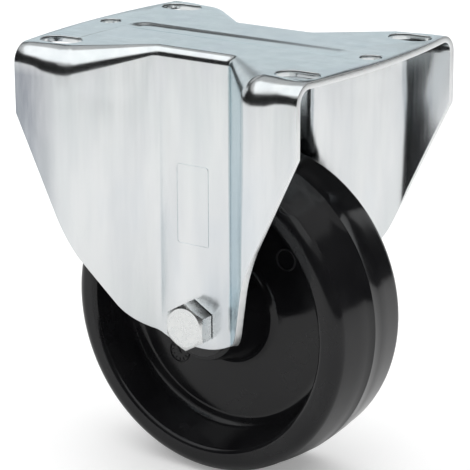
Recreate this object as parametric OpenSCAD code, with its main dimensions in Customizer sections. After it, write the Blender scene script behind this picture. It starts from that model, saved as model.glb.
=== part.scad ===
// Fixed castor: one folded steel housing that carries a one-piece wheel on a roller bearing.
// The plate's top face is z = 0 and the wheel hangs below it. X is the rolling direction, Y the axle.

/* [Top plate] */
// Length of the plate over its bowed ends
plate_l = 106; // [100:1:112]
// Bow of the plate's ends beyond its folded sides
bow = 3; // [1.5:0.5:4]
// Width of the plate over its folded sides
plate_w = 85; // [80:1:92]
// Thickness of the steel sheet
sheet_t = 2; // [1.5:0.1:2.5]
// Outer radius of the fold between the plate and its sides
fold_r = 6; // [5:0.5:7]

/* [Fixing holes] */
// Distance from a slot's centre to the end of the folded side
slot_end = 8; // [7:0.5:11]
// Distance from a slot's centre to the outside of the folded side
slot_side = 12.5; // [11.5:0.5:14.5]
// Width of a slot
slot_w = 9; // [7:0.5:9]
// Length of a slot from end to end
slot_l = 13.6; // [11:0.2:14]
// Distance from a small round hole's centre to the plate's bowed end
pilot_end = 6; // [5:0.5:9]
// Diameter of a small round hole
pilot_d = 6.5; // [4:0.5:7]

/* [Stiffening groove] */
// Distance from a small round hole's centre to the point where the groove runs out
groove_end = 13; // [11:1:22]
// Radius of the groove's round section
groove_r = 4; // [3:0.5:5]
// Depth of the groove at its deep end
groove_deep = 2; // [1:0.25:2.5]
// Depth of the groove at its shallow end
groove_shallow = 0.3; // [0.2:0.1:0.8]

/* [Legs] */
// Clear width between the two legs, where the wheel runs
fork_gap = 40; // [38:0.5:44]
// Width of the flat bottom of a leg's pressed channel
channel_w = 24; // [20:1:26]
// Angle of the channel's sloping sides
channel_angle = 48; // [44:1:54]
// Outer radius of the fold from a side into its channel
crest_r = 9; // [7.5:0.5:10]
// Radius of the fold at the bottom of the channel, on its hollow side
valley_r = 3; // [2:0.5:5]
// Height of the straight side at the plate's corners
flange_h = 21; // [18:0.5:26]
// Width of the leg's foot, measured where its straight edges would meet the bottom
foot_w = 32; // [26:1:36]
// Radius of the leg's foot corners
foot_r = 22; // [12:1:24]
// Height of leg below the axle
foot_h = 7.6; // [7.2:0.1:12]
// Height of the plate above the axle
axle_h = 83; // [80:1:90]

/* [Wheel] */
// Diameter of the wheel
wheel_d = 100; // [94:1:102]
// Width of the wheel
wheel_w = 36; // [32:1:36]
// Drop of the tread from its middle to its edge radius
tread_drop = 1.5; // [0.5:0.1:2]
// Radius of the wheel's outer edges
edge_r = 3.5; // [2:0.5:5]
// Diameter of the dished side where it opens at the wheel's face
dish_d = 83; // [80:0.5:86]
// Diameter of the dished side at its floor
dish_floor_d = 75; // [70:0.5:77]
// Radius of the lip round the dish
lip_r = 1.8; // [1:0.2:2.4]
// Radius between the dish's wall and its floor
dish_r = 4; // [2:0.5:5]
// Thickness of the web between the two dishes
web_t = 8; // [6:0.5:12]
// Length of the hub
hub_l = 37.6; // [36.4:0.1:37.8]
// Diameter of the hub at its ends
hub_d = 25; // [23:0.5:28]
// Diameter of the hub at the web
hub_root_d = 32; // [29:0.5:36]
// Radius between the hub and the web
hub_r = 3; // [1:0.5:4]

/* [Roller bearing] */
// Diameter of the fixed tube that the rollers run on
tube_d = 12; // [11:0.5:13]
// Bore of the fixed tube
tube_bore = 8.4; // [8.2:0.1:9]
// Diameter of a roller
roller_d = 3; // [2.5:0.1:3.2]
// Length of a roller
roller_l = 30; // [24:1:32]
// Number of rollers
roller_count = 12; // [12]
// Wall of the roller cage
cage_t = 1.6; // [1.2:0.1:2]
// Length of the cage's ring beyond each end of the rollers
cage_ring = 2; // [1.5:0.1:2.4]
// Running clearance between surfaces that turn on each other
run_gap = 0.03; // [0.02:0.01:0.06]
// Thickness of a thrust washer
washer_t = 1; // [0.8:0.1:1]
// Diameter of a thrust washer
washer_d = 22; // [19:0.5:24]
// End play between hub, washer and leg
end_play = 0.1; // [0.05:0.05:0.15]

/* [Axle bolt] */
// Diameter of the bolt
bolt_d = 8; // [7:0.5:8]
// Width across flats of the bolt's head and of the nut
hex_af = 13; // [12:0.5:14]
// Height of the bolt's head
head_h = 5.3; // [4.5:0.1:6]
// Height of the locking nut
nut_h = 8; // [6.5:0.5:9]
// Height of the nut's round locking collar
nut_collar_h = 2; // [1.5:0.5:3]
// Length of bolt beyond the nut
bolt_tail = 2.5; // [1:0.5:6]
// Clearance round the bolt in the legs
bolt_gap = 0.2; // [0.1:0.05:0.4]

/* [Hidden] */
$fn = 96;
ROLLERS = [for (i = [1:roller_count]) str("roller_", i < 10 ? "0" : "", i)];

// Overshoot of a cut beyond the face that it opens
cut = 1;

// Places along and across the plate
flange_l = plate_l - 2 * bow;
slot_pitch_x = flange_l - 2 * slot_end;
slot_pitch_y = plate_w - 2 * slot_side;
pilot_pitch = plate_l - 2 * pilot_end;
groove_l = pilot_pitch - 2 * groove_end;

// Places across the axle
side_y = plate_w / 2;
leg_in_y = fork_gap / 2;
leg_out_y = leg_in_y + sheet_t;

// Plan of a folded side: channel bottom, valley fold, sloping side, crest fold, flange
fall = side_y - leg_out_y;
bottom_l = channel_w / 2;
flange_x = bottom_l + (fall - (crest_r + valley_r) * (1 - cos(channel_angle))) / tan(channel_angle)
    + (crest_r + valley_r) * sin(channel_angle);
// Flat steps that the folds are drawn in
fold_steps = 9;
valley_steps = 4;
crest_steps = 8;
// Flat plate that a folded strip carries inside its fold, and the plate's edge half way across it
strip_depth = (fold_r + crest_r) / 2;
plate_inset = (fold_r + strip_depth) / 2;
// Corners of the folded side's outer faces, with their folds left out
valley_x = bottom_l + valley_r * tan(channel_angle / 2);
crest_x = valley_x + fall / tan(channel_angle);

// Plate ends are straight across the folds, with an arc between them
bow_y = side_y - (fold_r + plate_inset) / 2;
end_r = (bow_y * bow_y + bow * bow) / (2 * bow);

// Leg outline
foot_z = -axle_h - foot_h;

// Wheel section
wheel_r = wheel_d / 2;
half_w = wheel_w / 2;
edge_y = half_w - edge_r;
edge_x = wheel_r - tread_drop - edge_r;
crown_fall = tread_drop + edge_r;
crown_r = (crown_fall * crown_fall + edge_y * edge_y - edge_r * edge_r) / (2 * tread_drop);
crown_edge_y = edge_y * crown_r / (crown_r - edge_r);
race_r = tube_d / 2 + roller_d + 2 * run_gap;
pitch_r = (tube_d / 2 + race_r) / 2;
cage_l = roller_l + 2 * cage_ring;
pocket_gap = run_gap;

// Bolt and nut
bolt_grip = 2 * leg_out_y;

STEEL = "lightsteelblue";
ZINC = "silver";
PHENOLIC = [0.06, 0.06, 0.07];

function unit(v) = v / norm(v);
function turned_right(v) = [v[1], -v[0]];

// Outline with its corners rounded; the points run anticlockwise and every corner is convex
module rounded(points, radii) {
    n = len(points);
    difference() {
        polygon(points);
        for (i = [0:n - 1])
            if (radii[i] > 0)
                corner_waste(points[(i + n - 1) % n], points[i], points[(i + 1) % n], radii[i]);
    }
}

// What a rounding takes off the corner p, whose neighbours are a and b
module corner_waste(a, p, b, r) {
    half = acos(unit(a - p) * unit(b - p)) / 2;
    start = p + unit(a - p) * r / tan(half);
    end = p + unit(b - p) * r / tan(half);
    out = [turned_right(unit(p - a)), turned_right(unit(b - p))];
    difference() {
        polygon([start, start + out[0], p + out[0], p + out[0] + out[1], p + out[1], end + out[1], end]);
        translate(p + unit(unit(a - p) + unit(b - p)) * r / sin(half))
            circle(r);
    }
}

// Section of the folded sheet as [depth inwards, height], up one face and over the fold
function fold_face(offset) = concat(
    [[offset, foot_z - cut]],
    [
        for (i = [0:fold_steps])
            let (turn = 90 * i / fold_steps, r = fold_r - offset)
            [fold_r - r * cos(turn), r * sin(turn) - fold_r]
    ],
    [[strip_depth, -offset]]
);

// Plan of half a folded side as [x, y, heading], from the valley bend to beyond the flange's end
function bend(centre, r, from, to, steps) = [
    for (i = [0:steps])
        let (heading = from + (to - from) * i / steps)
        [centre[0] - r * sin(heading), centre[1] + r * cos(heading), heading]
];
half_plan = concat(
    bend([bottom_l, -leg_out_y - valley_r], valley_r, 0, -channel_angle, valley_steps),
    bend([flange_x, -side_y + crest_r], -crest_r, -channel_angle, 0, crest_steps),
    [[plate_l / 2 + cut, -side_y, 0]]
);
side_plan = concat(
    [for (i = [len(half_plan) - 1:-1:0]) [-half_plan[i][0], half_plan[i][1], -half_plan[i][2]]],
    half_plan
);

// One folded side on -Y: the section carried along the plan, square to it all the way
module folded_side() {
    outer = fold_face(0);
    inner = fold_face(sheet_t);
    n = len(outer);
    last = len(side_plan) - 1;
    points = [
        for (stand = side_plan, j = [0:2 * n - 1])
            let (q = j < n ? outer[j] : inner[2 * n - 1 - j])
            [stand[0] - q[0] * sin(stand[2]), stand[1] + q[0] * cos(stand[2]), q[1]]
    ];
    skin = [
        for (i = [0:last - 1], j = [0:2 * n - 1])
            let (k = (j + 1) % (2 * n), here = i * 2 * n, next = here + 2 * n)
            [here + j, here + k, next + k, next + j]
    ];
    caps = [
        for (end = [0, last], j = [0:n - 2])
            let (at = end * 2 * n, f = [at + j, at + 2 * n - 1 - j, at + 2 * n - 2 - j, at + j + 1])
            end == 0 ? f : [f[3], f[2], f[1], f[0]]
    ];
    polyhedron(points, concat(skin, caps));
}

// Flat plate, kept inside the folds
module flat_plate() {
    step = plate_inset * tan(channel_angle / 2);
    edge = [
        [-plate_l, side_y - plate_inset],
        [-crest_x + step, side_y - plate_inset],
        [-valley_x + step, leg_out_y - plate_inset],
        [valley_x - step, leg_out_y - plate_inset],
        [crest_x - step, side_y - plate_inset],
        [plate_l, side_y - plate_inset]
    ];
    linear_extrude_down()
        polygon([for (side = [-1, 1], p = edge) [-side * p[0], side * p[1]]]);
}

module linear_extrude_down() {
    translate([0, 0, -sheet_t])
        linear_extrude(sheet_t)
            children();
}

// Plan of the plate's two bowed ends
module end_bounds() {
    translate([0, 0, foot_z - cut]) {
        linear_extrude(-foot_z + 2 * cut)
            intersection_for (side = [-1, 1])
                translate([side * (plate_l / 2 - end_r), 0])
                    circle(end_r);
        translate([-flange_l / 2, -plate_w / 2 - cut, 0])
            cube([flange_l, plate_w + 2 * cut, -foot_z + 2 * cut]);
    }
}

// Outline of the legs, seen along the axle
module leg_bounds() {
    rotate([90, 0, 0])
        linear_extrude(plate_w + 2 * cut, center = true)
            rounded(
                [
                    [-plate_l / 2 - cut, cut],
                    [-plate_l / 2 - cut, -fold_r],
                    [-flange_l / 2, -fold_r],
                    [-flange_l / 2, -flange_h],
                    [-foot_w / 2, foot_z],
                    [foot_w / 2, foot_z],
                    [flange_l / 2, -flange_h],
                    [flange_l / 2, -fold_r],
                    [plate_l / 2 + cut, -fold_r],
                    [plate_l / 2 + cut, cut]
                ],
                [0, 0, 0, 0, foot_r, foot_r, 0, 0, 0, 0]
            );
}

// Round-ended bar laid in the plate's middle line, sinking from the shallow end to the deep end
module groove_bar(radius) {
    tilt = atan((groove_deep - groove_shallow) / groove_l);
    translate([-groove_l / 2, 0, groove_r - groove_deep])
        rotate([0, 90 - tilt, 0])
            rotate_extrude()
                rounded(
                    [[0, -radius], [radius, -radius], [radius, groove_l + radius], [0, groove_l + radius]],
                    [0, radius, radius, 0]
                );
}

module slot() {
    reach = (slot_l - slot_w) / 2;
    for (side = [-1, 1])
        translate([side * reach, 0, -sheet_t - cut])
            cylinder(h = sheet_t + 2 * cut, d = slot_w);
    translate([-reach, -slot_w / 2, -sheet_t - cut])
        cube([2 * reach, slot_w, sheet_t + 2 * cut]);
}

module housing() {
    color(STEEL)
        difference() {
            intersection() {
                union() {
                    flat_plate();
                    for (side = [0, 1])
                        mirror([0, side, 0])
                            folded_side();
                    intersection() {
                        groove_bar(groove_r + sheet_t);
                        translate([-plate_l / 2, -side_y, -2 * fold_r])
                            cube([plate_l, plate_w, 2 * fold_r - sheet_t / 2]);
                    }
                }
                leg_bounds();
                end_bounds();
            }
            groove_bar(groove_r);
            for (sx = [-1, 1], sy = [-1, 1])
                translate([sx * slot_pitch_x / 2, sy * slot_pitch_y / 2, 0])
                    slot();
            for (side = [-1, 1])
                translate([side * pilot_pitch / 2, 0, -sheet_t - cut])
                    cylinder(h = sheet_t + 2 * cut, d = pilot_d);
            on_axle()
                cylinder(h = plate_w, d = bolt_d + 2 * bolt_gap, center = true);
        }
}

// Places its children on the axle, with their Z along Y and their X still along X
module on_axle(y = 0) {
    translate([0, y, -axle_h])
        rotate([-90, 0, 0])
            children();
}

// Half section of the wheel: x is the radius, y runs along the axle
module wheel_section() {
    difference() {
        union() {
            intersection() {
                translate([wheel_r - crown_r, 0])
                    circle(crown_r);
                translate([dish_floor_d / 2, -crown_edge_y])
                    square([wheel_r, 2 * crown_edge_y]);
            }
            for (side = [-1, 1])
                translate([edge_x, side * edge_y])
                    circle(edge_r);
            translate([dish_floor_d / 2, -half_w])
                square([edge_x - dish_floor_d / 2, wheel_w]);
            translate([race_r, -web_t / 2 - dish_r])
                square([dish_floor_d / 2 + cut - race_r, web_t + 2 * dish_r]);
            translate([race_r, -hub_l / 2])
                square([hub_root_d / 2 - race_r + hub_r, hub_l]);
        }
        for (side = [0, 1])
            mirror([0, side])
                dish_section();
    }
}

// Hollow of one dished side, open at the wheel's face
module dish_section() {
    top = hub_l / 2 + cut;
    floor_y = web_t / 2;
    wall = (dish_d - dish_floor_d) / 2 / (half_w - floor_y);
    hub_taper = (hub_root_d - hub_d) / 2 / (hub_l / 2 - floor_y);
    rounded(
        [
            [dish_floor_d / 2, floor_y],
            [dish_floor_d / 2 + wall * (top - floor_y), top],
            [hub_root_d / 2 - hub_taper * (top - floor_y), top],
            [hub_root_d / 2, floor_y]
        ],
        [dish_r, 0, 0, hub_r]
    );
    translate([dish_d / 2 - cut, half_w - lip_r])
        difference() {
            square([cut + lip_r, lip_r + cut]);
            translate([cut + lip_r, 0])
                circle(lip_r);
        }
}

module wheel() {
    color(PHENOLIC)
        on_axle()
            rotate_extrude()
                wheel_section();
}

// Hexagon with its chamfered outer end, standing on z = 0 with corners above and below the axle
module hex_body(height) {
    intersection() {
        rotate([0, 0, 90])
            cylinder(h = height, d = hex_af / cos(30), $fn = 6);
        cylinder(h = height, r1 = hex_af / 2 + height * 2, r2 = hex_af / 2 - 0.1);
    }
}

module axle_bolt() {
    color(ZINC) {
        on_axle(-leg_out_y)
            rotate([180, 0, 0])
                hex_body(head_h);
        on_axle(-leg_out_y)
            cylinder(h = bolt_grip + nut_h + bolt_tail, d = bolt_d);
    }
}

module axle_nut() {
    color(ZINC)
        on_axle(leg_out_y)
            difference() {
                union() {
                    hex_body(nut_h - nut_collar_h);
                    cylinder(h = nut_h, d = hex_af - 1.5);
                }
                translate([0, 0, -cut])
                    cylinder(h = nut_h + 2 * cut, d = bolt_d + 2 * run_gap);
            }
}

module axle_tube() {
    color(ZINC)
        on_axle()
            difference() {
                cylinder(h = fork_gap, d = tube_d, center = true);
                cylinder(h = fork_gap + 2 * cut, d = tube_bore, center = true);
            }
}

module thrust_washer(side) {
    color(ZINC)
        on_axle(side * (hub_l / 2 + end_play + washer_t / 2))
            difference() {
                cylinder(h = washer_t, d = washer_d, center = true);
                cylinder(h = washer_t + 2 * cut, d = tube_d + 2 * bolt_gap, center = true);
            }
}

// Turns its children to one roller's place round the axle
module at_roller(index) {
    rotate([0, 0, index * 360 / roller_count])
        translate([pitch_r, 0, 0])
            children();
}

module roller_cage() {
    pocket = [2 * cage_t, roller_d + 2 * pocket_gap, roller_l + 2 * pocket_gap];
    color("darkgoldenrod")
        on_axle()
            difference() {
                cylinder(h = cage_l, r = pitch_r + cage_t / 2, center = true);
                cylinder(h = cage_l + 2 * cut, r = pitch_r - cage_t / 2, center = true);
                for (i = [1:roller_count])
                    at_roller(i)
                        cube(pocket, center = true);
            }
}

module roller(index) {
    color(ZINC)
        on_axle()
            at_roller(index)
                cylinder(h = roller_l, d = roller_d, center = true);
}

housing();
wheel();
axle_bolt();
axle_nut();
axle_tube();
thrust_washer(-1);  // washer_near
thrust_washer(1);  // washer_far
roller_cage();
for (i = [1:roller_count])
    roller(i);
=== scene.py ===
# %% [markdown]
# A fixed castor: one folded and zinc plated steel housing that is screwed under a machine or a
# trolley, and a hard black wheel that turns in it on a bolt. The housing keeps one direction, so
# it has no turntable. X is the rolling direction, Y the axle, and the plate's top face is z = 0.
# Everything is drawn in millimetres and brought to metres when a piece is finished.

# %% Frame
import math

import bmesh
import bpy
from mathutils import Matrix, Vector


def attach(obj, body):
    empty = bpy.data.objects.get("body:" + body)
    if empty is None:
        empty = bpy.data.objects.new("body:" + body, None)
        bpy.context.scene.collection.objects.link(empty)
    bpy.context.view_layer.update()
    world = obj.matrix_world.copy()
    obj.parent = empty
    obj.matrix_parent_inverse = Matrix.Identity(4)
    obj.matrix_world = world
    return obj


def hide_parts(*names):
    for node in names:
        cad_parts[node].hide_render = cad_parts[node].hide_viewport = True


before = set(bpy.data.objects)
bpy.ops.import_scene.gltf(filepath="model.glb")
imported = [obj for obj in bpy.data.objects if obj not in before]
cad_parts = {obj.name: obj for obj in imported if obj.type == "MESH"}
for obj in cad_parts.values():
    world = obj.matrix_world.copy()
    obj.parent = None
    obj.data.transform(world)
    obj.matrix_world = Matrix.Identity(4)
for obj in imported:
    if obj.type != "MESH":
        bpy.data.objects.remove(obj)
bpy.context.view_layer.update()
MM = 0.001

# sheet and folds of the housing
SHEET = 2.0
HALF_LENGTH = 50.0
BOW = 3.0
SIDE_Y = 42.5
CHANNEL_Y = 22.0
CHANNEL_HALF = 12.0
CHANNEL_ANGLE = math.radians(48)
CREST_R = 9.0
VALLEY_R = 3.0
AXLE_Z = -83.0
FLANGE_H = 21.0
FOOT_HALF = 16.0
FOOT_R = 22.0
FOOT_Z = -90.6
print("frame loaded, axle at", AXLE_Z * MM)

# %% [markdown]
# Four small tools that every piece uses. A mesh is made with bmesh operators, then becomes an
# object; modifiers such as the sheet's thickness and the worn edge are baked in, so that what is
# seen is what is kept.

# %% Tools
def row_edges(bm, verts):
    """The edges that join the verts of one row."""
    chosen = set(verts)
    return [e for e in bm.edges if e.verts[0] in chosen and e.verts[1] in chosen]


def rounded_chain(bm, points, radii, segments=8, closed=False):
    """A chain of straight edges through the points, with each inner corner rounded."""
    verts = [bm.verts.new(p) for p in points]
    last = len(verts) if closed else len(verts) - 1
    for i in range(last):
        bm.edges.new((verts[i], verts[(i + 1) % len(verts)]))
    bm.verts.ensure_lookup_table()
    for v, r in zip(verts, radii):
        if r:
            a, b = [(e.other_vert(v).co - v.co).normalized() for e in v.link_edges]
            reach = r / math.tan(a.angle(b) / 2)
            bmesh.ops.bevel(bm, geom=[v], offset=reach, offset_type="OFFSET", segments=segments,
                            profile=0.5, affect="VERTICES", material=-1)
    return bm


def to_object(bm, name, material, body):
    """Finish a mesh in millimetres as an object in metres that rides on a body."""
    bmesh.ops.scale(bm, vec=(MM, MM, MM), verts=bm.verts)
    mesh = bpy.data.meshes.new(name)
    bm.to_mesh(mesh)
    bm.free()
    obj = bpy.data.objects.new(name, mesh)
    bpy.context.scene.collection.objects.link(obj)
    if material:
        mesh.materials.append(material)
    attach(obj, body)
    return obj


def bake(obj, sharp=35):
    """Bake the modifiers into the mesh, shade it smooth and keep its real corners sharp."""
    view = bpy.context.evaluated_depsgraph_get()
    mesh = bpy.data.meshes.new_from_object(obj.evaluated_get(view))
    obj.modifiers.clear()
    obj.data = mesh
    mesh.shade_smooth()
    mesh.set_sharp_from_angle(angle=math.radians(sharp))
    print(obj.name, len(mesh.polygons), "faces")
    return obj


def cutter(bm, name):
    """A closed mesh in millimetres that is only used to cut another piece."""
    bmesh.ops.recalc_face_normals(bm, faces=bm.faces)
    bmesh.ops.scale(bm, vec=(MM, MM, MM), verts=bm.verts)
    mesh = bpy.data.meshes.new(name)
    bm.to_mesh(mesh)
    bm.free()
    obj = bpy.data.objects.new(name, mesh)
    bpy.context.scene.collection.objects.link(obj)
    return obj


def cut(obj, tool, operation="DIFFERENCE"):
    """Cut obj with a closed tool, and put the tool away."""
    mod = obj.modifiers.new("cut", "BOOLEAN")
    mod.operation = operation
    mod.solver = "EXACT"
    mod.object = tool
    view = bpy.context.evaluated_depsgraph_get()
    mesh = bpy.data.meshes.new_from_object(obj.evaluated_get(view))
    obj.modifiers.remove(mod)
    obj.data = mesh
    bpy.data.objects.remove(tool)

# %% Materials
def new_material(name):
    material = bpy.data.materials.new(name)
    material.use_nodes = True
    tree = material.node_tree
    return material, tree, tree.nodes["Principled BSDF"]


def add(tree, kind, **settings):
    node = tree.nodes.new(kind)
    for key, value in settings.items():
        setattr(node, key, value)
    return node


def stretched_noise(tree, scale, detail=4, roughness=0.6, size=1.0):
    """Noise in the object's own coordinates, drawn out by the three scales."""
    coords = add(tree, "ShaderNodeTexCoord")
    mapping = add(tree, "ShaderNodeMapping")
    mapping.inputs["Scale"].default_value = scale
    noise = add(tree, "ShaderNodeTexNoise")
    noise.inputs["Scale"].default_value = size
    noise.inputs["Detail"].default_value = detail
    noise.inputs["Roughness"].default_value = roughness
    tree.links.new(coords.outputs["Object"], mapping.inputs["Vector"])
    tree.links.new(mapping.outputs["Vector"], noise.inputs["Vector"])
    return noise


def ramp(tree, source, stops):
    node = add(tree, "ShaderNodeValToRGB")
    while len(node.color_ramp.elements) < len(stops):
        node.color_ramp.elements.new(0.5)
    for element, (place, colour) in zip(node.color_ramp.elements, stops):
        element.position = place
        element.color = (*colour, 1)
    tree.links.new(source, node.inputs["Fac"])
    return node


def to_range(tree, source, low, high, from_low=0.3, from_high=0.7):
    node = add(tree, "ShaderNodeMapRange")
    node.inputs["From Min"].default_value = from_low
    node.inputs["From Max"].default_value = from_high
    node.inputs["To Min"].default_value = low
    node.inputs["To Max"].default_value = high
    tree.links.new(source, node.inputs["Value"])
    return node


def mix(tree, factor, a, b):
    node = add(tree, "ShaderNodeMix", data_type="RGBA")
    tree.links.new(factor, node.inputs[0])
    tree.links.new(a, node.inputs[6])
    tree.links.new(b, node.inputs[7])
    return node.outputs[2]


def zinc_sheet():
    """Bright zinc on cold rolled sheet: faint tints, mottling, streaks down the sides and along the plate, and painted
    shade at the -X end of the sides.
    """
    material, tree, bsdf = new_material("zinc_sheet")
    bsdf.inputs["Metallic"].default_value = 1.0
    bsdf.inputs["Specular Tint"].default_value = (0.80, 0.90, 0.94, 1)
    cloud = stretched_noise(tree, (26, 26, 12), detail=3)
    tint = ramp(tree, cloud.outputs["Fac"], [
        (0.30, (0.68, 0.73, 0.77)), (0.45, (0.78, 0.80, 0.81)),
        (0.58, (0.75, 0.79, 0.79)), (0.72, (0.73, 0.73, 0.78))])
    spots = stretched_noise(tree, (130, 130, 22), detail=5)
    mottle = ramp(tree, spots.outputs["Fac"], [(0.36, (0.64, 0.66, 0.68)), (0.60, (0.83, 0.84, 0.84))])
    half = to_range(tree, spots.outputs["Fac"], 0.3, 0.5)
    colour = mix(tree, half.outputs["Result"], tint.outputs["Color"], mottle.outputs["Color"])
    coords = add(tree, "ShaderNodeTexCoord")
    parts = add(tree, "ShaderNodeSeparateXYZ")
    tree.links.new(coords.outputs["Object"], parts.inputs["Vector"])
    # painted shade: below the plate, the sides darken towards their -X end in the base colour, standing in for a dark
    # reflection
    end = to_range(tree, parts.outputs["X"], 0.85, 0.0, -0.044, -0.034)
    below = to_range(tree, parts.outputs["Z"], 1.0, 0.0, -0.009, -0.004)
    painted_shade_mask = add(tree, "ShaderNodeMath", operation="MULTIPLY")
    tree.links.new(end.outputs["Result"], painted_shade_mask.inputs[0])
    tree.links.new(below.outputs["Result"], painted_shade_mask.inputs[1])
    painted_shade_colour = ramp(tree, spots.outputs["Fac"], [(0.36, (0.22, 0.24, 0.28)), (0.60, (0.42, 0.44, 0.48))])
    colour = mix(tree, painted_shade_mask.outputs[0], colour, painted_shade_colour.outputs["Color"])
    tree.links.new(colour, bsdf.inputs["Base Color"])
    down = stretched_noise(tree, (800, 800, 12), detail=4)
    along = stretched_noise(tree, (12, 800, 60), detail=4)
    top = to_range(tree, parts.outputs["Z"], 0.0, 1.0, -0.006, -0.0015)
    streaks = mix(tree, top.outputs["Result"], down.outputs["Color"], along.outputs["Color"])
    rough = to_range(tree, streaks, 0.15, 0.24)
    tree.links.new(rough.outputs["Result"], bsdf.inputs["Roughness"])
    bump = add(tree, "ShaderNodeBump")
    bump.inputs["Strength"].default_value = 0.025
    bump.inputs["Distance"].default_value = 0.0002
    tree.links.new(streaks, bump.inputs["Height"])
    tree.links.new(bump.outputs["Normal"], bsdf.inputs["Normal"])
    return material


def sheared_edge():
    """The cut edges of the sheet: torn by the shear, so lighter and rougher than the rolled faces."""
    material, tree, bsdf = new_material("sheared_edge")
    bsdf.inputs["Metallic"].default_value = 1.0
    grain = stretched_noise(tree, (400, 400, 400), detail=4)
    colours = ramp(tree, grain.outputs["Fac"], [(0.3, (0.84, 0.86, 0.86)), (0.7, (0.93, 0.94, 0.94))])
    tree.links.new(colours.outputs["Color"], bsdf.inputs["Base Color"])
    rough = to_range(tree, grain.outputs["Fac"], 0.38, 0.52)
    tree.links.new(rough.outputs["Result"], bsdf.inputs["Roughness"])
    return material


def zinc_hardware():
    """Zinc on turned and forged steel: even and a little duller."""
    material, tree, bsdf = new_material("zinc_hardware")
    bsdf.inputs["Metallic"].default_value = 1.0
    grain = stretched_noise(tree, (500, 500, 500), detail=3)
    colours = ramp(tree, grain.outputs["Fac"], [(0.3, (0.72, 0.74, 0.74)), (0.7, (0.84, 0.85, 0.84))])
    tree.links.new(colours.outputs["Color"], bsdf.inputs["Base Color"])
    rough = to_range(tree, grain.outputs["Fac"], 0.22, 0.34)
    tree.links.new(rough.outputs["Result"], bsdf.inputs["Roughness"])
    return material


def wheel_plastic():
    """Hard black moulding compound, polished by the mould."""
    material, tree, bsdf = new_material("wheel_plastic")
    bsdf.inputs["Specular IOR Level"].default_value = 0.32
    cloud = stretched_noise(tree, (60, 60, 60), detail=4)
    colours = ramp(tree, cloud.outputs["Fac"], [(0.3, (0.006, 0.006, 0.007)), (0.7, (0.012, 0.012, 0.013))])
    tree.links.new(colours.outputs["Color"], bsdf.inputs["Base Color"])
    rough = to_range(tree, cloud.outputs["Fac"], 0.10, 0.17)
    tree.links.new(rough.outputs["Result"], bsdf.inputs["Roughness"])
    skin = stretched_noise(tree, (350, 350, 350), detail=2)
    bump = add(tree, "ShaderNodeBump")
    bump.inputs["Strength"].default_value = 0.02
    bump.inputs["Distance"].default_value = 0.0003
    tree.links.new(skin.outputs["Fac"], bump.inputs["Height"])
    tree.links.new(bump.outputs["Normal"], bsdf.inputs["Normal"])
    return material


def bearing_steel(name, low, high):
    """Ground steel, or the cage's pressed steel with its brownish oil."""
    material, tree, bsdf = new_material(name)
    bsdf.inputs["Metallic"].default_value = 1.0
    grain = stretched_noise(tree, (300, 300, 300), detail=3)
    colours = ramp(tree, grain.outputs["Fac"], [(0.3, low), (0.7, high)])
    tree.links.new(colours.outputs["Color"], bsdf.inputs["Base Color"])
    rough = to_range(tree, grain.outputs["Fac"], 0.15, 0.3)
    tree.links.new(rough.outputs["Result"], bsdf.inputs["Roughness"])
    return material


def washer_plastic():
    """Matt black slip washers."""
    material, tree, bsdf = new_material("washer_plastic")
    grain = stretched_noise(tree, (250, 250, 250), detail=3)
    colours = ramp(tree, grain.outputs["Fac"], [(0.3, (0.012, 0.012, 0.013)), (0.7, (0.022, 0.022, 0.023))])
    tree.links.new(colours.outputs["Color"], bsdf.inputs["Base Color"])
    rough = to_range(tree, grain.outputs["Fac"], 0.4, 0.55)
    tree.links.new(rough.outputs["Result"], bsdf.inputs["Roughness"])
    return material


SHEET_ZINC = zinc_sheet()
CUT_ZINC = sheared_edge()
WASHER = washer_plastic()
BOLT_ZINC = zinc_hardware()
BLACK = wheel_plastic()
BEARING = bearing_steel("bearing_steel", (0.55, 0.55, 0.55), (0.66, 0.66, 0.65))
CAGE = bearing_steel("cage_steel", (0.42, 0.40, 0.36), (0.52, 0.50, 0.45))
for node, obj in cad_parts.items():
    finish = BOLT_ZINC
    if node.startswith("roller_cage"):
        finish = CAGE
    elif node.startswith("roller") or node == "axle_tube":
        finish = BEARING
    elif node.startswith("washer"):
        finish = WASHER
    elif node == "wheel":
        finish = BLACK
    elif node == "housing":
        finish = SHEET_ZINC
    obj.data.materials.clear()
    obj.data.materials.append(finish)
print("materials given to", len(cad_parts), "nodes")

# %% Housing sheet
def fold_radius(x):
    """Outer radius of the fold into the plate: tight at the channel's bottom, wide at the crest."""
    x = abs(x)
    if x < 14:
        return 3.0
    if x < 31:
        return 3.0 + (x - 14) / 17 * 5.0
    if x < 38:
        return 8.0
    return max(6.0, 8.0 - (x - 38) / 6 * 2.0)


DEPTH = 8.6
HOLLOW = 0.9
bm = bmesh.new()
fold_layer = bm.verts.layers.int.new("fold")
RADIUS = 6.0
heights = [FOOT_Z - 2 + 6 * i for i in range(11)] + [-30 + 1.6 * i for i in range(13)] + [-RADIUS]
knee = bm.verts.new((HALF_LENGTH, -SIDE_Y, heights[0]))
for height in heights[1:]:
    made = bmesh.ops.extrude_vert_indiv(bm, verts=[knee])
    knee = made["verts"][0]
    knee.co.z = height
made = bmesh.ops.spin(bm, geom=[knee], cent=(HALF_LENGTH, -SIDE_Y + RADIUS, -RADIUS), axis=(1, 0, 0),
                      dvec=(0, 0, 0), angle=-math.pi / 2, steps=12, use_duplicate=False)
for v in bm.verts:
    v[fold_layer] = int(v.co.z > -RADIUS - 0.1)
tip = [g for g in made["geom_last"] if isinstance(g, bmesh.types.BMVert)][0]
made = bmesh.ops.extrude_vert_indiv(bm, verts=[tip])
inner = made["verts"][0]
inner.co.y = -SIDE_Y + DEPTH
inner[fold_layer] = 0

row = list(bm.verts)
corner = Vector((HALF_LENGTH, -SIDE_Y, 0))
radius = RADIUS
stations = []


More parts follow.
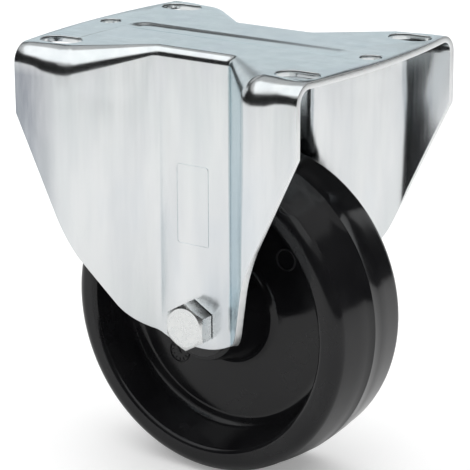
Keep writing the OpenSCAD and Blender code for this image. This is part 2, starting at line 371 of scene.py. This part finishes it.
def next_station(verts, corner, radius, turn=None, move=None):
    """Carry the row on by a bend or a straight, and set the fold's radius there."""
    geom = verts + row_edges(bm, verts)
    if turn:
        centre, angle = turn
        made = bmesh.ops.spin(bm, geom=geom, cent=centre, axis=(0, 0, 1), dvec=(0, 0, 0),
                              angle=angle, steps=1, use_duplicate=False)
        new = made["geom_last"]
        step = Matrix.Translation(centre) @ Matrix.Rotation(angle, 4, "Z") @ Matrix.Translation(-centre)
    else:
        made = bmesh.ops.extrude_edge_only(bm, edges=[g for g in geom if isinstance(g, bmesh.types.BMEdge)])
        new = made["geom"]
        step = Matrix.Translation(move)
        bmesh.ops.translate(bm, vec=move, verts=[g for g in new if isinstance(g, bmesh.types.BMVert)])
    verts = [g for g in new if isinstance(g, bmesh.types.BMVert)]
    corner = step @ corner
    wanted = fold_radius(corner.x)
    folded = [v for v in verts if v[fold_layer]]
    bmesh.ops.scale(bm, vec=(wanted / radius,) * 3, verts=folded, space=Matrix.Translation(-corner))
    return verts, corner, wanted


def straight(verts, corner, radius, to, steps):
    move = (Vector((to[0], to[1], 0)) - corner) / steps
    for i in range(steps):
        verts, corner, radius = next_station(verts, corner, radius, move=move)
    return verts, corner, radius


def bend(verts, corner, radius, centre, angle, steps):
    for i in range(steps):
        verts, corner, radius = next_station(
            verts, corner, radius, turn=(Vector((centre[0], centre[1], 0)), angle / steps))
    return verts, corner, radius


sin_a, cos_a = math.sin(CHANNEL_ANGLE), math.cos(CHANNEL_ANGLE)
rise = SIDE_Y - CHANNEL_Y - (CREST_R + VALLEY_R) * (1 - cos_a)
crest_x = CHANNEL_HALF + rise / math.tan(CHANNEL_ANGLE) + (CREST_R + VALLEY_R) * sin_a
crest = (crest_x, -SIDE_Y + CREST_R)
valley = (CHANNEL_HALF, -CHANNEL_Y - VALLEY_R)
state = (row, corner, radius)
state = straight(*state, (crest_x, -SIDE_Y), 4)
state = bend(*state, crest, -CHANNEL_ANGLE, 12)
state = straight(*state, (valley[0] + VALLEY_R * sin_a, valley[1] + VALLEY_R * cos_a), 10)
state = bend(*state, valley, CHANNEL_ANGLE, 8)
state = straight(*state, (-CHANNEL_HALF, -CHANNEL_Y), 4)
state = bend(*state, (-valley[0], valley[1]), CHANNEL_ANGLE, 8)
to = (-(crest_x - CREST_R * sin_a), -SIDE_Y + CREST_R - CREST_R * cos_a)
state = straight(*state, to, 10)
state = bend(*state, (-crest[0], crest[1]), -CHANNEL_ANGLE, 12)
state = straight(*state, (-HALF_LENGTH, -SIDE_Y), 4)
print("folded side", len(bm.faces), "faces, last corner", state[1])

# the other side, then the flat plate between the two
bmesh.ops.mirror(bm, geom=bm.verts[:] + bm.edges[:] + bm.faces[:], axis="Y", merge_dist=0.0001)
rim = [e for e in bm.edges if len(e.link_faces) == 1
       and all(abs(v.co.z) < 1e-4 and not v[fold_layer] for v in e.verts)]
made = bmesh.ops.bridge_loops(bm, edges=rim)
plate = set(made["faces"])
print("rim edges", len(rim), "plate faces", len(plate))


def plate_geometry(bm, keep):
    faces = [f for f in bm.faces if all(abs(v.co.z) < 1e-4 and not v[fold_layer] for v in f.verts)
             and keep(f.calc_center_median())]
    edges = list(dict.fromkeys(e for f in faces for e in f.edges))
    verts = list(dict.fromkeys(v for f in faces for v in f.verts))
    return verts + edges + faces


def score(bm, axis, places, keep):
    """Straight lines across the flat plate, square to one axis."""
    for place in places:
        co = [0, 0, 0]
        no = [0, 0, 0]
        co[axis] = place
        no[axis] = 1
        bmesh.ops.bisect_plane(bm, geom=plate_geometry(bm, keep), dist=0.0001, plane_co=co, plane_no=no)


score(bm, 1, [-33, -30, -24, -16, -8, 0, 8, 16, 24, 30, 33], lambda c: abs(c.x) > 46.5)
score(bm, 0, [-39, 39], lambda c: True)
score(bm, 1, [-8, 8], lambda c: abs(c.x) < 39)
in_band = lambda c: abs(c.x) < 39 and abs(c.y) < 8
score(bm, 1, [y / 10 * s for y in (0, 8, 16, 22, 27, 32, 37, 42, 47, 53, 62) for s in (-1, 1)], in_band)
score(bm, 0, [s * x / 10 for x in (50, 150, 250, 320, 340, 350, 358, 364, 370, 375, 381, 386) for s in (-1, 1)],
      in_band)
bmesh.ops.remove_doubles(bm, verts=bm.verts, dist=0.001)

# the bowed ends, and the groove pressed along the middle
GROOVE_HALF = 34.0
for v in bm.verts:
    if abs(v.co.z) > 1e-4 or v[fold_layer]:
        continue
    x, y = v.co.x, v.co.y
    if abs(x) > HALF_LENGTH - 0.01:
        v.co.x += math.copysign(BOW * max(0, 1 - (y / 36.1) ** 2), x)
    along = min(max((GROOVE_HALF - x) / (2 * GROOVE_HALF), 0), 1)
    deep = 0.25 + 0.35 * along
    half = 5.6
    off = math.hypot(max(abs(x) - GROOVE_HALF, 0), y)
    t = min(max((off / half - 0.25) / 0.75, 0), 1)
    v.co.z -= deep * (1 - t * t * (3 - 2 * t))

# where the press drew the sheet in, each ramp is left a little hollow under its fold
ramp_middle = Vector(((valley[0] + crest[0]) / 2, (CHANNEL_Y + SIDE_Y) / 2, -14.5))
for v in bm.verts:
    place = Vector((abs(v.co.x), abs(v.co.y), v.co.z))
    off = place - ramp_middle
    off.z -= off.x / 3
    if v[fold_layer] or abs(off.x) > 11 or v.co.z > -8:
        continue
    inward = Vector((math.copysign(sin_a, v.co.x), math.copysign(-cos_a, v.co.y), 0))
    hollow = HOLLOW * math.exp(-(off.x / 7) ** 2 - (off.z / 4) ** 2)
    v.co += inward * hollow

# outline of the legs: slanting edges and the rounded foot
slant = math.atan2(HALF_LENGTH - FOOT_HALF, -FOOT_Z - FLANGE_H)
edge_off = HALF_LENGTH * math.cos(slant) + FLANGE_H * math.sin(slant)
foot_z = FOOT_Z + FOOT_R
foot_x = (edge_off - FOOT_R + foot_z * math.sin(slant)) / math.cos(slant)
for side in (-1, 1):
    for i in range(13):
        a = slant + (math.pi / 2 - slant) * i / 12
        out = Vector((side * math.cos(a), 0, -math.sin(a)))
        at = Vector((side * foot_x, 0, foot_z)) + out * FOOT_R
        bmesh.ops.bisect_plane(bm, geom=bm.verts[:] + bm.edges[:] + bm.faces[:], dist=0.0001,
                               plane_co=at, plane_no=out, clear_outer=True)
bmesh.ops.remove_doubles(bm, verts=bm.verts, dist=0.001)
bmesh.ops.dissolve_limit(bm, angle_limit=math.radians(0.3), verts=bm.verts, edges=bm.edges)
bmesh.ops.recalc_face_normals(bm, faces=bm.faces)
top = max(bm.faces, key=lambda f: f.calc_area() * (f.calc_center_median().z > -0.01))
if top.normal.z < 0:
    bmesh.ops.reverse_faces(bm, faces=bm.faces)
housing = to_object(bm, "housing_sheet", SHEET_ZINC, "bracket")
housing.data.materials.append(CUT_ZINC)
thick = housing.modifiers.new("thickness", "SOLIDIFY")
thick.thickness = SHEET * MM
thick.offset = -1
thick.use_even_offset = True
thick.material_offset_rim = 1
bake(housing)

# %% Slots and holes
def round_tool(bm, place, radius, length, stretch=0.0, segments=48):
    """A cylinder that cuts a hole; stretched along X it cuts a slot."""
    made = bmesh.ops.create_cone(bm, cap_ends=True, segments=segments, radius1=radius, radius2=radius,
                                 depth=length, matrix=Matrix.Rotation(math.pi / segments, 4, "Z"))
    for side in (-1, 1):
        half = [v for v in made["verts"] if v.co.x * side > 0]
        bmesh.ops.translate(bm, vec=(side * stretch / 2, 0, 0), verts=half)
    bmesh.ops.transform(bm, matrix=place, verts=made["verts"])


bm = bmesh.new()
for sx in (-1, 1):
    for sy in (-1, 1):
        round_tool(bm, Matrix.Translation((sx * 42, sy * 30, -1)), 4.5, 6, stretch=4.6)
    round_tool(bm, Matrix.Translation((sx * 47, 0, -1)), 3.25, 6)
round_tool(bm, Matrix.Translation((0, 0, AXLE_Z)) @ Matrix.Rotation(math.pi / 2, 4, "X"), 4.2, 60)
cut(housing, cutter(bm, "holes"))
edge = housing.modifiers.new("edge", "BEVEL")
edge.width = 0.25 * MM
edge.segments = 2
edge.limit_method = "ANGLE"
edge.angle_limit = math.radians(50)
edge.use_clamp_overlap = False
flat = housing.modifiers.new("even", "WEIGHTED_NORMAL")
flat.keep_sharp = True
bake(housing, 50)
for v in housing.data.vertices:
    v.co.z = min(v.co.z, 0)
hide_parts("housing")

# %% Wheel
HALF_W = 18.0
BORE_R = 9.06
points = [(BORE_R, -18.8), (12.5, -18.8), (16.0, -4), (37.5, -4), (41.5, -18), (50 - 1.5, -18)]
radii = [0, 0.6, 3, 4, 1.8, 4.0]
arc_r = (5.0 ** 2 + 14.5 ** 2 - 3.5 ** 2) / (2 * 1.5)
crown = [(49.93 - arc_r + math.sqrt(arc_r ** 2 - y * y), y) for y in (-12, -8, -4, -0.3)]
half = points + crown + [(50, -0.08), (50, 0)]
chain = half + [(x, -y) for x, y in reversed(half[:-1])]
chain_radii = radii + [0] * (len(chain) - 2 * len(radii)) + list(reversed(radii))
bm = bmesh.new()
rounded_chain(bm, [(x, y, 0) for x, y in chain], chain_radii, segments=10, closed=True)
bmesh.ops.spin(bm, geom=bm.verts[:] + bm.edges[:], cent=(0, 0, 0), axis=(0, 1, 0), dvec=(0, 0, 0),
               angle=2 * math.pi, steps=144, use_merge=True, use_duplicate=False)
bmesh.ops.remove_doubles(bm, verts=bm.verts, dist=0.001)
bmesh.ops.translate(bm, vec=(0, 0, AXLE_Z), verts=bm.verts)
bmesh.ops.recalc_face_normals(bm, faces=bm.faces)
wheel = to_object(bm, "wheel_moulding", BLACK, "wheel")
bake(wheel, 40)
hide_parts("wheel")

# %% Marks
def on_side(x, y, z):
    """The place of a raised mark on a face that looks along -Y."""
    return Matrix.Translation((x, y, z)) @ Matrix.Rotation(math.pi / 2, 4, "X")


def raise_mark(bm, place, name, material, body):
    bmesh.ops.transform(bm, matrix=place, verts=bm.verts)
    bmesh.ops.recalc_face_normals(bm, faces=bm.faces)
    return bake(to_object(bm, name, material, body), 30)


def ring(bm, radius, line, height):
    """A raised ring, sunk a little into the face that it stands on."""
    points = [(radius - line, -0.3), (radius - line * 0.75, height), (radius - line * 0.25, height), (radius, -0.3)]
    chain = rounded_chain(bm, [(r, 0, h) for r, h in points], [0] * 4, closed=True)
    bmesh.ops.spin(bm, geom=bm.verts[:] + bm.edges[:], cent=(0, 0, 0), axis=(0, 0, 1), dvec=(0, 0, 0),
                   angle=2 * math.pi, steps=48, use_merge=True, use_duplicate=False)
    bmesh.ops.remove_doubles(bm, verts=bm.verts, dist=0.0001)


bm = bmesh.new()
ring(bm, 3.6, 0.7, 0.4)
raise_mark(bm, on_side(21, -4, -64), "wheel_roundel", WASHER, "wheel")

bm = bmesh.new()
ring(bm, 3.9, 0.6, 0.4)
for i in range(12):
    turn = Matrix.Rotation(math.radians(30 * i), 4, "Z")
    bmesh.ops.create_cube(bm, size=1, matrix=turn @ Matrix.Translation((0, 2.75, 0)) @ Matrix.Diagonal((0.3, 0.8, 0.5, 1)))
bmesh.ops.create_cube(bm, size=1, matrix=Matrix.Rotation(0.6, 4, "Z") @ Matrix.Translation((0, 0.4, 0))
                      @ Matrix.Diagonal((0.4, 2.6, 0.5, 1)))
raise_mark(bm, on_side(-19, -4, -101), "wheel_dial", WASHER, "wheel")

FRAME_HALF = (6.0, 12.5)
CORNER = 1.2
bm = bmesh.new()
ring(bm, CORNER, 0.7, 0.12)
bmesh.ops.rotate(bm, verts=bm.verts, cent=(0, 0, 0), matrix=Matrix.Rotation(math.pi / 48, 3, "Z"))
for sx in (-1, 1):
    for sy in (-1, 1):
        quarter = [v for v in bm.verts if v.co.x * sx > 0 and v.co.y * sy > 0]
        bmesh.ops.translate(bm, vec=(sx * (FRAME_HALF[0] - CORNER), sy * (FRAME_HALF[1] - CORNER), 0), verts=quarter)
raise_mark(bm, on_side(-0.3, -CHANNEL_Y, -46.5), "leg_frame", SHEET_ZINC, "bracket")

# %% Bolt
def on_leg(y, out):
    """The place of a fastener that stands on a leg at y and points outwards."""
    return Matrix.Translation((0, y, AXLE_Z)) @ Matrix.Rotation(out * math.pi / 2, 4, "X")


def hexagon(name, y, out, height, face_r, slope):
    """A hexagon with its corners above and below the axle, and the corners turned off at its outer end."""
    bm = bmesh.new()
    corner_r = 13 / 2 / math.cos(math.radians(30))
    made = bmesh.ops.create_cone(bm, cap_ends=True, segments=6, radius1=corner_r, radius2=corner_r, depth=height)
    bmesh.ops.transform(bm, matrix=on_leg(y, out) @ Matrix.Translation((0, 0, height / 2)) @ Matrix.Rotation(HEX_TURN, 4, "Z"),
                        verts=made["verts"])
    bmesh.ops.recalc_face_normals(bm, faces=bm.faces)
    obj = to_object(bm, name, BOLT_ZINC, "bracket")
    bm = bmesh.new()
    made = bmesh.ops.create_cone(bm, cap_ends=True, segments=96, radius1=face_r + height * slope, radius2=face_r,
                                 depth=height)
    bmesh.ops.transform(bm, matrix=on_leg(y, out) @ Matrix.Translation((0, 0, height / 2)), verts=made["verts"])
    cut(obj, cutter(bm, "chamfer"), "INTERSECT")
    return obj


def soften(obj, width, angle, segments=3, sharp=30):
    edge = obj.modifiers.new("edge", "BEVEL")
    edge.width = width * MM
    edge.segments = segments
    edge.limit_method = "ANGLE"
    edge.angle_limit = math.radians(angle)
    bake(obj, sharp)


def turned(name, y, out, points, radii, material, body="bracket", steps=72):
    """A piece turned on the axle: points are radius and height above y."""
    bm = bmesh.new()
    closed = points[0][0] > 0
    rounded_chain(bm, [(r, 0, h) for r, h in points], radii, segments=6, closed=closed)
    bmesh.ops.spin(bm, geom=bm.verts[:] + bm.edges[:], cent=(0, 0, 0), axis=(0, 0, 1), dvec=(0, 0, 0),
                   angle=2 * math.pi, steps=steps, use_merge=True, use_duplicate=False)
    bmesh.ops.remove_doubles(bm, verts=bm.verts, dist=0.0001)
    bmesh.ops.transform(bm, matrix=on_leg(y, out), verts=bm.verts)
    bmesh.ops.recalc_face_normals(bm, faces=bm.faces)
    obj = to_object(bm, name, material, body)
    return bake(obj, 35)


HEX_TURN = 0.0
UNDER = 0.35
head = hexagon("bolt_head", -CHANNEL_Y - UNDER, 1, 5.3 - UNDER, 6.0, 1.9)
soften(head, 0.25, 20)
face = turned("bolt_washer_face", -CHANNEL_Y, 1, [(0, 0), (5.7, 0), (5.7, UNDER + 0.05), (0, UNDER + 0.05)], [0] * 4,
              BOLT_ZINC)
shank = turned("bolt_shank", -CHANNEL_Y + 0.3, -1, [(0, 0), (4, 0), (4, 53.4), (3.2, 54.2), (0, 54.2)], [0] * 5,
               BOLT_ZINC)
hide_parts("axle_bolt")
nut = hexagon("locking_nut", CHANNEL_Y, -1, 6.0, 6.2, 1.9)
soften(nut, 0.25, 20)
collar = turned("nut_collar", CHANNEL_Y, -1, [(4.1, 5.9), (5.6, 5.9), (5.6, 7.2), (4.9, 8), (4.1, 8)],
                [0, 0, 0.4, 0.4, 0], BOLT_ZINC)
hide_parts("axle_nut")

# %% Studio
def area(name, place, aim, size, radiance):
    """A soft box: a rectangle of even light, set by its radiance."""
    data = bpy.data.lights.new(name, "AREA")
    data.shape = "RECTANGLE"
    data.size, data.size_y = size
    data.energy = radiance * math.pi * size[0] * size[1]
    lamp = bpy.data.objects.new(name, data)
    bpy.context.scene.collection.objects.link(lamp)
    lamp.location = place
    lamp.rotation_euler = (Vector(aim) - Vector(place)).to_track_quat("-Z", "Y").to_euler()
    return lamp


def stage_object(bm, name, material):
    mesh = bpy.data.meshes.new(name)
    bm.to_mesh(mesh)
    bm.free()
    obj = bpy.data.objects.new(name, mesh)
    bpy.context.scene.collection.objects.link(obj)
    mesh.materials.append(material)
    return obj


def card_paint(name, level):
    """A studio card of one even grey."""
    material, tree, bsdf = new_material(name)
    bsdf.inputs["Base Color"].default_value = (0.01, 0.01, 0.01, 1)
    bsdf.inputs["Roughness"].default_value = 1.0
    bsdf.inputs["Specular IOR Level"].default_value = 0.0
    bsdf.inputs["Emission Color"].default_value = (level * 0.98, level, level * 1.01, 1)
    bsdf.inputs["Emission Strength"].default_value = 1.0
    return material


def only_reflected(card):
    """A card round the table that is seen only in the metal's reflections."""
    card.visible_camera = False
    card.visible_diffuse = False
    card.visible_shadow = False
    card.visible_transmission = False


def bent_card(name, paint, radius, low, high, start, sweep):
    bm = bmesh.new()
    bottom = bm.verts.new((radius * math.cos(math.radians(start)), radius * math.sin(math.radians(start)), low))
    made = bmesh.ops.extrude_vert_indiv(bm, verts=[bottom])
    made["verts"][0].co.z = high
    bmesh.ops.spin(bm, geom=bm.verts[:] + bm.edges[:], cent=(0, 0, 0), axis=(0, 0, 1), dvec=(0, 0, 0),
                   angle=math.radians(sweep), steps=48, use_duplicate=False)
    only_reflected(stage_object(bm, name, paint))


softbox = area("softbox", (0, 0, 1.2), (0, 0, 0), (2.6, 2.6), 1.25)
softbox.visible_glossy = False
WHITE = card_paint("white_card", 1.25)
bm = bmesh.new()
bmesh.ops.create_grid(bm, x_segments=2, y_segments=2, size=1)
bmesh.ops.transform(bm, matrix=Matrix.Translation((0, -0.5, 1.21)) @ Matrix.Diagonal((1.3, 0.8, 1, 1)), verts=bm.verts)
only_reflected(stage_object(bm, "white_card", WHITE))
ROOM = card_paint("dark_room", 0.004)
GREY = card_paint("grey_backdrop", 0.80)
bent_card("room_front", ROOM, 1.4, -0.15, 0.85, 182, 250)
bent_card("room_back", ROOM, 1.4, 0.55, 0.85, 72, 110)
bent_card("backdrop", GREY, 1.42, -0.14, 0.55, 72, 110)

paper, tree, bsdf = new_material("paper")
bsdf.inputs["Base Color"].default_value = (0.85, 0.85, 0.85, 1)
bsdf.inputs["Roughness"].default_value = 0.9
bsdf.inputs["Emission Color"].default_value = (1, 1, 1, 1)
path = add(tree, "ShaderNodeLightPath")
glow = add(tree, "ShaderNodeMath", operation="MULTIPLY")
glow.inputs[1].default_value = 0.25
tree.links.new(path.outputs["Is Camera Ray"], glow.inputs[0])
tree.links.new(glow.outputs[0], bsdf.inputs["Emission Strength"])
bm = bmesh.new()
bmesh.ops.create_grid(bm, x_segments=2, y_segments=2, size=4)
bmesh.ops.translate(bm, vec=(0, 0, (AXLE_Z - 50) * MM - 0.0002), verts=bm.verts)
stage_object(bm, "floor", paper)

world = bpy.data.worlds.new("studio")
bpy.context.scene.world = world
world.use_nodes = True
tree = world.node_tree
back = tree.nodes["Background"]
back.inputs["Color"].default_value = (1, 1, 1, 1)
path = add(tree, "ShaderNodeLightPath")
strength = to_range(tree, path.outputs["Is Camera Ray"], 0.5, 1.0, 0, 1)
tree.links.new(strength.outputs["Result"], back.inputs["Strength"])

# %% Camera
right = Vector((0.811, 0.585, -0.007))
view = Vector((-0.561, 0.775, -0.291)).normalized()
up = right.cross(view).normalized()
right = view.cross(up).normalized()
camera_data = bpy.data.cameras.new("camera")
camera = bpy.data.objects.new("camera", camera_data)
bpy.context.scene.collection.objects.link(camera)
camera.matrix_world = Matrix.Translation((0.371897, -0.526849, 0.135269)) @ Matrix(
    (right, up, -view)).transposed().to_4x4()
camera_data.sensor_width = 36
camera_data.lens = 169.79
camera_data.shift_x = 0.0508
bpy.context.scene.camera = camera
bpy.context.scene.view_settings.view_transform = "Standard"
